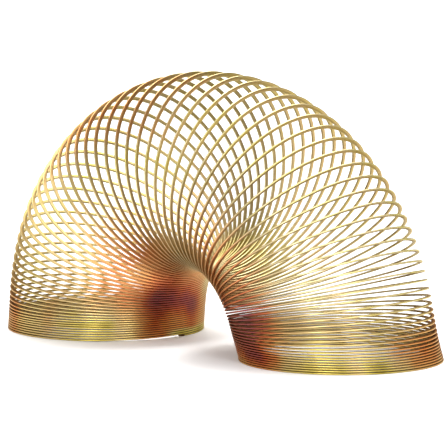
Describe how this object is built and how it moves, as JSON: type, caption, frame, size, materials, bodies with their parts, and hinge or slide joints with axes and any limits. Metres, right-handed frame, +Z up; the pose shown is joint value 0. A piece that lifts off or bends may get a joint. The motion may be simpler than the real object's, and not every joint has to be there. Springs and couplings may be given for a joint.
{
  "type": "spring coil toy",
  "caption": "Walking spring coil toy: a long coil of flat plated wire that stands as an arch on its closed end turns and walks down steps.",
  "frame": {"origin": "on the floor, under the middle of the arch", "axes": "+Z up; +X from the left foot to the right foot; Y across the arch, which stands in the XZ plane"},
  "size_m": [0.1782, 0.069, 0.0933],
  "materials": {
    "plated_wire": "flat spring steel wire with an iridescent yellow zinc plating, gold with green and pink tints",
    "end_cap": "dark brown crimped sleeve"
  },
  "bodies": {
    "left_foot": {"left_foot_coil": "plated_wire", "left_end_cap": "end_cap"},
    "turns_09_10": {"turns_09_10": "plated_wire"},
    "turns_11_12": {"turns_11_12": "plated_wire"},
    "turn_13": {"turn_13": "plated_wire"},
    "turn_14": {"turn_14": "plated_wire"},
    "turn_15": {"turn_15": "plated_wire"},
    "turn_16": {"turn_16": "plated_wire"},
    "turn_17": {"turn_17": "plated_wire"},
    "turn_18": {"turn_18": "plated_wire"},
    "turn_19": {"turn_19": "plated_wire"},
    "turn_20": {"turn_20": "plated_wire"},
    "turn_21": {"turn_21": "plated_wire"},
    "turn_22": {"turn_22": "plated_wire"},
    "turn_23": {"turn_23": "plated_wire"},
    "turn_24": {"turn_24": "plated_wire"},
    "turn_25": {"turn_25": "plated_wire"},
    "turn_26": {"turn_26": "plated_wire"},
    "turn_27": {"turn_27": "plated_wire"},
    "turn_28": {"turn_28": "plated_wire"},
    "turn_29": {"turn_29": "plated_wire"},
    "turn_30": {"turn_30": "plated_wire"},
    "turn_31": {"turn_31": "plated_wire"},
    "turn_32": {"turn_32": "plated_wire"},
    "turn_33": {"turn_33": "plated_wire"},
    "turn_34": {"turn_34": "plated_wire"},
    "turn_35": {"turn_35": "plated_wire"},
    "turn_36": {"turn_36": "plated_wire"},
    "turn_37": {"turn_37": "plated_wire"},
    "turn_38": {"turn_38": "plated_wire"},
    "turn_39": {"turn_39": "plated_wire"},
    "turn_40": {"turn_40": "plated_wire"},
    "turn_41": {"turn_41": "plated_wire"},
    "turn_42": {"turn_42": "plated_wire"},
    "turn_43": {"turn_43": "plated_wire"},
    "turn_44": {"turn_44": "plated_wire"},
    "turn_45": {"turn_45": "plated_wire"},
    "turn_46": {"turn_46": "plated_wire"},
    "turn_47": {"turn_47": "plated_wire"},
    "turn_48": {"turn_48": "plated_wire"},
    "turn_49": {"turn_49": "plated_wire"},
    "turn_50": {"turn_50": "plated_wire"},
    "turn_51": {"turn_51": "plated_wire"},
    "turn_52": {"turn_52": "plated_wire"},
    "turn_53": {"turn_53": "plated_wire"},
    "turn_54": {"turn_54": "plated_wire"},
    "turn_55": {"turn_55": "plated_wire"},
    "turn_56": {"turn_56": "plated_wire"},
    "turn_57": {"turn_57": "plated_wire"},
    "turn_58": {"turn_58": "plated_wire"},
    "turn_59": {"turn_59": "plated_wire"},
    "turn_60": {"turn_60": "plated_wire"},
    "turn_61": {"turn_61": "plated_wire"},
    "turn_62": {"turn_62": "plated_wire"},
    "turn_63": {"turn_63": "plated_wire"},
    "turns_64_65": {"turns_64_65": "plated_wire"},
    "turns_66_67": {"turns_66_67": "plated_wire"},
    "turns_68_69": {"turns_68_69": "plated_wire"},
    "right_foot": {"right_foot_coil": "plated_wire", "right_end_cap": "end_cap"}
  },
  "joints": [
    {"name": "bend_08", "type": "hinge", "parent": "left_foot", "child": "turns_09_10", "pos_m": [-0.02037, 0, 0.0062], "axis": [0, 1, 0], "range_deg": [-0.1787, 0]},
    {"name": "bend_10", "type": "hinge", "parent": "turns_09_10", "child": "turns_11_12", "pos_m": [-0.02023, 0, 0.00768], "axis": [0, 1, 0], "range_deg": [-0.5383, 0]},
    {"name": "bend_12", "type": "hinge", "parent": "turns_11_12", "child": "turn_13", "pos_m": [-0.02006, 0, 0.00919], "axis": [0, 1, 0], "range_deg": [-0.9807, 0]},
    {"name": "bend_13", "type": "hinge", "parent": "turn_13", "child": "turn_14", "pos_m": [-0.01996, 0, 0.00995], "axis": [0, 1, 0], "range_deg": [-1.22, 0]},
    {"name": "bend_14", "type": "hinge", "parent": "turn_14", "child": "turn_15", "pos_m": [-0.01983, 0, 0.01072], "axis": [0, 1, 0], "range_deg": [-1.46, 0]},
    {"name": "bend_15", "type": "hinge", "parent": "turn_15", "child": "turn_16", "pos_m": [-0.01969, 0, 0.0115], "axis": [0, 1, 0], "range_deg": [-1.71, 0]},
    {"name": "bend_16", "type": "hinge", "parent": "turn_16", "child": "turn_17", "pos_m": [-0.01952, 0, 0.01229], "axis": [0, 1, 0], "range_deg": [-1.96, 0]},
    {"name": "bend_17", "type": "hinge", "parent": "turn_17", "child": "turn_18", "pos_m": [-0.01932, 0, 0.01309], "axis": [0, 1, 0], "range_deg": [-2.2, 0]},
    {"name": "bend_18", "type": "hinge", "parent": "turn_18", "child": "turn_19", "pos_m": [-0.01908, 0, 0.01391], "axis": [0, 1, 0], "range_deg": [-2.45, 0]},
    {"name": "bend_19", "type": "hinge", "parent": "turn_19", "child": "turn_20", "pos_m": [-0.0188, 0, 0.01473], "axis": [0, 1, 0], "range_deg": [-2.68, 0]},
    {"name": "bend_20", "type": "hinge", "parent": "turn_20", "child": "turn_21", "pos_m": [-0.01847, 0, 0.01557], "axis": [0, 1, 0], "range_deg": [-2.91, 0]},
    {"name": "bend_21", "type": "hinge", "parent": "turn_21", "child": "turn_22", "pos_m": [-0.01809, 0, 0.01642], "axis": [0, 1, 0], "range_deg": [-3.13, 0]},
    {"name": "bend_22", "type": "hinge", "parent": "turn_22", "child": "turn_23", "pos_m": [-0.01764, 0, 0.01727], "axis": [0, 1, 0], "range_deg": [-3.34, 0]},
    {"name": "bend_23", "type": "hinge", "parent": "turn_23", "child": "turn_24", "pos_m": [-0.01712, 0, 0.01812], "axis": [0, 1, 0], "range_deg": [-3.54, 0]},
    {"name": "bend_24", "type": "hinge", "parent": "turn_24", "child": "turn_25", "pos_m": [-0.01653, 0, 0.01897], "axis": [0, 1, 0], "range_deg": [-3.73, 0]},
    {"name": "bend_25", "type": "hinge", "parent": "turn_25", "child": "turn_26", "pos_m": [-0.01586, 0, 0.01981], "axis": [0, 1, 0], "range_deg": [-3.9, 0]},
    {"name": "bend_26", "type": "hinge", "parent": "turn_26", "child": "turn_27", "pos_m": [-0.0151, 0, 0.02062], "axis": [0, 1, 0], "range_deg": [-4.06, 0]},
    {"name": "bend_27", "type": "hinge", "parent": "turn_27", "child": "turn_28", "pos_m": [-0.01426, 0, 0.0214], "axis": [0, 1, 0], "range_deg": [-4.21, 0]},
    {"name": "bend_28", "type": "hinge", "parent": "turn_28", "child": "turn_29", "pos_m": [-0.01333, 0, 0.02214], "axis": [0, 1, 0], "range_deg": [-4.34, 0]},
    {"name": "bend_29", "type": "hinge", "parent": "turn_29", "child": "turn_30", "pos_m": [-0.01232, 0, 0.02282], "axis": [0, 1, 0], "range_deg": [-4.46, 0]},
    {"name": "bend_30", "type": "hinge", "parent": "turn_30", "child": "turn_31", "pos_m": [-0.01123, 0, 0.02342], "axis": [0, 1, 0], "range_deg": [-4.57, 0]},
    {"name": "bend_31", "type": "hinge", "parent": "turn_31", "child": "turn_32", "pos_m": [-0.01008, 0, 0.02396], "axis": [0, 1, 0], "range_deg": [-4.65, 0]},
    {"name": "bend_32", "type": "hinge", "parent": "turn_32", "child": "turn_33", "pos_m": [-0.00886, 0, 0.0244], "axis": [0, 1, 0], "range_deg": [-4.72, 0]},
    {"name": "bend_33", "type": "hinge", "parent": "turn_33", "child": "turn_34", "pos_m": [-0.00759, 0, 0.02474], "axis": [0, 1, 0], "range_deg": [-4.78, 0]},
    {"name": "bend_34", "type": "hinge", "parent": "turn_34", "child": "turn_35", "pos_m": [-0.00629, 0, 0.02499], "axis": [0, 1, 0], "range_deg": [-4.82, 0]},
    {"name": "bend_35", "type": "hinge", "parent": "turn_35", "child": "turn_36", "pos_m": [-0.00496, 0, 0.02513], "axis": [0, 1, 0], "range_deg": [-4.85, 0]},
    {"name": "bend_36", "type": "hinge", "parent": "turn_36", "child": "turn_37", "pos_m": [-0.00363, 0, 0.02517], "axis": [0, 1, 0], "range_deg": [-4.85, 0]},
    {"name": "bend_37", "type": "hinge", "parent": "turn_37", "child": "turn_38", "pos_m": [-0.00231, 0, 0.02511], "axis": [0, 1, 0], "range_deg": [-4.85, 0]},
    {"name": "bend_38", "type": "hinge", "parent": "turn_38", "child": "turn_39", "pos_m": [-0.001, 0, 0.02495], "axis": [0, 1, 0], "range_deg": [-4.83, 0]},
    {"name": "bend_39", "type": "hinge", "parent": "turn_39", "child": "turn_40", "pos_m": [0.00028, 0, 0.0247], "axis": [0, 1, 0], "range_deg": [-4.79, 0]},
    {"name": "bend_40", "type": "hinge", "parent": "turn_40", "child": "turn_41", "pos_m": [0.00152, 0, 0.02437], "axis": [0, 1, 0], "range_deg": [-4.74, 0]},
    {"name": "bend_41", "type": "hinge", "parent": "turn_41", "child": "turn_42", "pos_m": [0.00272, 0, 0.02396], "axis": [0, 1, 0], "range_deg": [-4.67, 0]},
    {"name": "bend_42", "type": "hinge", "parent": "turn_42", "child": "turn_43", "pos_m": [0.00386, 0, 0.0235], "axis": [0, 1, 0], "range_deg": [-4.59, 0]},
    {"name": "bend_43", "type": "hinge", "parent": "turn_43", "child": "turn_44", "pos_m": [0.00494, 0, 0.02298], "axis": [0, 1, 0], "range_deg": [-4.5, 0]},
    {"name": "bend_44", "type": "hinge", "parent": "turn_44", "child": "turn_45", "pos_m": [0.00597, 0, 0.02242], "axis": [0, 1, 0], "range_deg": [-4.39, 0]},
    {"name": "bend_45", "type": "hinge", "parent": "turn_45", "child": "turn_46", "pos_m": [0.00693, 0, 0.02183], "axis": [0, 1, 0], "range_deg": [-4.28, 0]},
    {"name": "bend_46", "type": "hinge", "parent": "turn_46", "child": "turn_47", "pos_m": [0.00784, 0, 0.02121], "axis": [0, 1, 0], "range_deg": [-4.15, 0]},
    {"name": "bend_47", "type": "hinge", "parent": "turn_47", "child": "turn_48", "pos_m": [0.00869, 0, 0.02057], "axis": [0, 1, 0], "range_deg": [-4.01, 0]},
    {"name": "bend_48", "type": "hinge", "parent": "turn_48", "child": "turn_49", "pos_m": [0.00949, 0, 0.01991], "axis": [0, 1, 0], "range_deg": [-3.86, 0]},
    {"name": "bend_49", "type": "hinge", "parent": "turn_49", "child": "turn_50", "pos_m": [0.01024, 0, 0.01925], "axis": [0, 1, 0], "range_deg": [-3.7, 0]},
    {"name": "bend_50", "type": "hinge", "parent": "turn_50", "child": "turn_51", "pos_m": [0.01094, 0, 0.01858], "axis": [0, 1, 0], "range_deg": [-3.53, 0]},
    {"name": "bend_51", "type": "hinge", "parent": "turn_51", "child": "turn_52", "pos_m": [0.0116, 0, 0.01791], "axis": [0, 1, 0], "range_deg": [-3.35, 0]},
    {"name": "bend_52", "type": "hinge", "parent": "turn_52", "child": "turn_53", "pos_m": [0.01222, 0, 0.01723], "axis": [0, 1, 0], "range_deg": [-3.17, 0]},
    {"name": "bend_53", "type": "hinge", "parent": "turn_53", "child": "turn_54", "pos_m": [0.01279, 0, 0.01656], "axis": [0, 1, 0], "range_deg": [-2.98, 0]},
    {"name": "bend_54", "type": "hinge", "parent": "turn_54", "child": "turn_55", "pos_m": [0.01334, 0, 0.01589], "axis": [0, 1, 0], "range_deg": [-2.79, 0]},
    {"name": "bend_55", "type": "hinge", "parent": "turn_55", "child": "turn_56", "pos_m": [0.01385, 0, 0.01521], "axis": [0, 1, 0], "range_deg": [-2.59, 0]},
    {"name": "bend_56", "type": "hinge", "parent": "turn_56", "child": "turn_57", "pos_m": [0.01434, 0, 0.01454], "axis": [0, 1, 0], "range_deg": [-2.39, 0]},
    {"name": "bend_57", "type": "hinge", "parent": "turn_57", "child": "turn_58", "pos_m": [0.0148, 0, 0.01386], "axis": [0, 1, 0], "range_deg": [-2.19, 0]},
    {"name": "bend_58", "type": "hinge", "parent": "turn_58", "child": "turn_59", "pos_m": [0.01523, 0, 0.01318], "axis": [0, 1, 0], "range_deg": [-1.99, 0]},
    {"name": "bend_59", "type": "hinge", "parent": "turn_59", "child": "turn_60", "pos_m": [0.01565, 0, 0.0125], "axis": [0, 1, 0], "range_deg": [-1.8, 0]},
    {"name": "bend_60", "type": "hinge", "parent": "turn_60", "child": "turn_61", "pos_m": [0.01604, 0, 0.01182], "axis": [0, 1, 0], "range_deg": [-1.6, 0]},
    {"name": "bend_61", "type": "hinge", "parent": "turn_61", "child": "turn_62", "pos_m": [0.01642, 0, 0.01113], "axis": [0, 1, 0], "range_deg": [-1.41, 0]},
    {"name": "bend_62", "type": "hinge", "parent": "turn_62", "child": "turn_63", "pos_m": [0.01678, 0, 0.01044], "axis": [0, 1, 0], "range_deg": [-1.22, 0]},
    {"name": "bend_63", "type": "hinge", "parent": "turn_63", "child": "turns_64_65", "pos_m": [0.01713, 0, 0.00974], "axis": [0, 1, 0], "range_deg": [-1.04, 0]},
    {"name": "bend_65", "type": "hinge", "parent": "turns_64_65", "child": "turns_66_67", "pos_m": [0.01779, 0, 0.00832], "axis": [0, 1, 0], "range_deg": [-0.7078, 0]},
    {"name": "bend_67", "type": "hinge", "parent": "turns_66_67", "child": "turns_68_69", "pos_m": [0.01841, 0, 0.00689], "axis": [0, 1, 0], "range_deg": [-0.4217, 0]},
    {"name": "bend_69", "type": "hinge", "parent": "turns_68_69", "child": "right_foot", "pos_m": [0.01902, 0, 0.00544], "axis": [0, 1, 0], "range_deg": [-0.197, 0]}
  ],
  "couplings": [
    {"joint": "bend_08", "follows": "bend_24", "ratio": 0.047792},
    {"joint": "bend_10", "follows": "bend_24", "ratio": 0.14429},
    {"joint": "bend_12", "follows": "bend_24", "ratio": 0.263},
    {"joint": "bend_13", "follows": "bend_24", "ratio": 0.32689},
    {"joint": "bend_14", "follows": "bend_24", "ratio": 0.39245},
    {"joint": "bend_15", "follows": "bend_24", "ratio": 0.45878},
    {"joint": "bend_16", "follows": "bend_24", "ratio": 0.52522},
    {"joint": "bend_17", "follows": "bend_24", "ratio": 0.59115},
    {"joint": "bend_18", "follows": "bend_24", "ratio": 0.65601},
    {"joint": "bend_19", "follows": "bend_24", "ratio": 0.71934},
    {"joint": "bend_20", "follows": "bend_24", "ratio": 0.78071},
    {"joint": "bend_21", "follows": "bend_24", "ratio": 0.83977},
    {"joint": "bend_22", "follows": "bend_24", "ratio": 0.89621},
    {"joint": "bend_23", "follows": "bend_24", "ratio": 0.94969},
    {"joint": "bend_25", "follows": "bend_24", "ratio": 1.0469},
    {"joint": "bend_26", "follows": "bend_24", "ratio": 1.0903},
    {"joint": "bend_27", "follows": "bend_24", "ratio": 1.1299},
    {"joint": "bend_28", "follows": "bend_24", "ratio": 1.1656},
    {"joint": "bend_29", "follows": "bend_24", "ratio": 1.1973},
    {"joint": "bend_30", "follows": "bend_24", "ratio": 1.2249},
    {"joint": "bend_31", "follows": "bend_24", "ratio": 1.2484},
    {"joint": "bend_32", "follows": "bend_24", "ratio": 1.2677},
    {"joint": "bend_33", "follows": "bend_24", "ratio": 1.2828},
    {"joint": "bend_34", "follows": "bend_24", "ratio": 1.2936},
    {"joint": "bend_35", "follows": "bend_24", "ratio": 1.3002},
    {"joint": "bend_36", "follows": "bend_24", "ratio": 1.3026},
    {"joint": "bend_37", "follows": "bend_24", "ratio": 1.3008},
    {"joint": "bend_38", "follows": "bend_24", "ratio": 1.295},
    {"joint": "bend_39", "follows": "bend_24", "ratio": 1.2851},
    {"joint": "bend_40", "follows": "bend_24", "ratio": 1.2713},
    {"joint": "bend_41", "follows": "bend_24", "ratio": 1.2536},
    {"joint": "bend_42", "follows": "bend_24", "ratio": 1.2322},
    {"joint": "bend_43", "follows": "bend_24", "ratio": 1.2073},
    {"joint": "bend_44", "follows": "bend_24", "ratio": 1.1789},
    {"joint": "bend_45", "follows": "bend_24", "ratio": 1.1473},
    {"joint": "bend_46", "follows": "bend_24", "ratio": 1.1126},
    {"joint": "bend_47", "follows": "bend_24", "ratio": 1.0749},
    {"joint": "bend_48", "follows": "bend_24", "ratio": 1.0345},
    {"joint": "bend_49", "follows": "bend_24", "ratio": 0.99168},
    {"joint": "bend_50", "follows": "bend_24", "ratio": 0.94655},
    {"joint": "bend_51", "follows": "bend_24", "ratio": 0.89937},
    {"joint": "bend_52", "follows": "bend_24", "ratio": 0.85043},
    {"joint": "bend_53", "follows": "bend_24", "ratio": 0.79998},
    {"joint": "bend_54", "follows": "bend_24", "ratio": 0.74827},
    {"joint": "bend_55", "follows": "bend_24", "ratio": 0.69562},
    {"joint": "bend_56", "follows": "bend_24", "ratio": 0.6423},
    {"joint": "bend_57", "follows": "bend_24", "ratio": 0.58866},
    {"joint": "bend_58", "follows": "bend_24", "ratio": 0.53502},
    {"joint": "bend_59", "follows": "bend_24", "ratio": 0.4817},
    {"joint": "bend_60", "follows": "bend_24", "ratio": 0.42908},
    {"joint": "bend_61", "follows": "bend_24", "ratio": 0.37753},
    {"joint": "bend_62", "follows": "bend_24", "ratio": 0.3274},
    {"joint": "bend_63", "follows": "bend_24", "ratio": 0.27913},
    {"joint": "bend_65", "follows": "bend_24", "ratio": 0.18977},
    {"joint": "bend_67", "follows": "bend_24", "ratio": 0.113},
    {"joint": "bend_69", "follows": "bend_24", "ratio": 0.052702}
  ]
}
